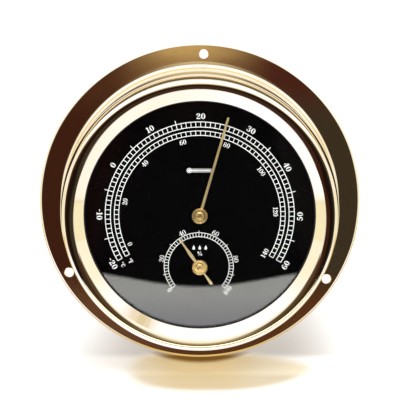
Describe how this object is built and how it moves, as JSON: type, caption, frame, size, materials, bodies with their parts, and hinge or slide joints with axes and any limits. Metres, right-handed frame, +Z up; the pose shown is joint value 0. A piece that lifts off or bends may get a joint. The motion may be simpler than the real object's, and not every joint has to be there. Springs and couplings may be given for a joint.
{
  "type": "thermo-hygrometer",
  "caption": "Round polished brass thermo-hygrometer with a wall flange: bimetal thermometer hand above, hair hygrometer hand below, on a black dial under glass.",
  "frame": {"origin": "centre of the wall screw pattern, in the plane of the wall", "axes": "+Z up, the dial faces -Y, +Y points into the wall, +X to the reader's right"},
  "size_m": [0.125, 0.0321, 0.125],
  "materials": {
    "polished_brass": "polished",
    "plain_brass": "satin",
    "hand_brass": "polished",
    "cover_brass": "brushed",
    "screw_steel": "bright",
    "spring_steel": "satin",
    "black_dial": "matt enamel with white printing",
    "black_rubber": "matt",
    "black_spacer": "matt",
    "window_glass": "clear",
    "hair": "degreased hair"
  },
  "bodies": {
    "case": {"wall_flange": "polished_brass", "case_wall": "polished_brass", "bezel_ring": "polished_brass", "glass_gasket": "black_rubber", "front_glass": "window_glass", "spacer_ring": "black_spacer", "dial_plate": "black_dial", "dial_keeper": "screw_steel", "case_lugs": "plain_brass", "back_cover": "cover_brass", "back_cover_screws": "screw_steel", "dial_pillars": "plain_brass", "thermo_bridge": "plain_brass", "bridge_screws": "screw_steel", "thermo_front_bush": "plain_brass", "thermo_rear_bush": "plain_brass", "bimetal_coil": "spring_steel", "regulator_clip": "screw_steel", "hygro_plate": "plain_brass", "plate_screws": "screw_steel", "hygro_front_bush": "plain_brass", "hygro_rear_bush": "plain_brass", "hygro_hairspring": "spring_steel", "hairspring_stud": "screw_steel", "sector_axle": "screw_steel", "sector_bushes": "plain_brass", "hair_bundle": "hair", "adjuster_bush": "plain_brass"},
    "thermo_pointer": {"thermo_arbor": "screw_steel", "coil_collet": "plain_brass", "thermo_hand": "hand_brass", "thermo_hand_hub": "hand_brass"},
    "regulator": {"thermo_regulator": "plain_brass", "coil_stud": "screw_steel"},
    "hygro_pointer": {"hygro_arbor": "screw_steel", "hygro_pinion": "plain_brass", "hairspring_collet": "plain_brass", "hygro_hand": "hand_brass", "hygro_hand_hub": "hand_brass"},
    "sector": {"sector_lever": "plain_brass", "sector_counterweight": "plain_brass", "hair_clamp": "plain_brass"},
    "adjuster": {"hair_adjuster": "screw_steel", "hair_anchor": "plain_brass"}
  },
  "joints": [
    {"name": "thermo_hand_turn", "type": "hinge", "parent": "case", "child": "thermo_pointer", "pos_m": [0, 0, -0.00075], "axis": [0, 1, 0], "range_deg": [-136, 104], "stiffness_Nm_per_rad": 0.002, "deforming": ["bimetal_coil"]},
    {"name": "regulator_turn", "type": "hinge", "parent": "case", "child": "regulator", "pos_m": [0, 0, -0.00075], "axis": [0, 1, 0], "range_deg": [-12, 12], "deforming": ["bimetal_coil"]},
    {"name": "hygro_hand_turn", "type": "hinge", "parent": "case", "child": "hygro_pointer", "pos_m": [0, 0, -0.0208], "axis": [0, 1, 0], "range_deg": [-95.1, 164.9], "stiffness_Nm_per_rad": 0.0005, "deforming": ["hygro_hairspring", "hair_bundle"]},
    {"name": "sector_swing", "type": "hinge", "parent": "case", "child": "sector", "pos_m": [0.01656, 0, -0.0208], "axis": [0, 1, 0], "range_deg": [-16.5, 9.55], "deforming": ["hygro_hairspring", "hair_bundle"]},
    {"name": "hair_adjuster_turn", "type": "hinge", "parent": "case", "child": "adjuster", "pos_m": [-0.03906, 0, -0.0211], "axis": [0, 1, 0], "range_deg": [-20, 20], "deforming": ["hair_bundle"]}
  ],
  "couplings": [
    {"joint": "sector_swing", "follows": "hygro_hand_turn", "ratio": -0.1}
  ]
}
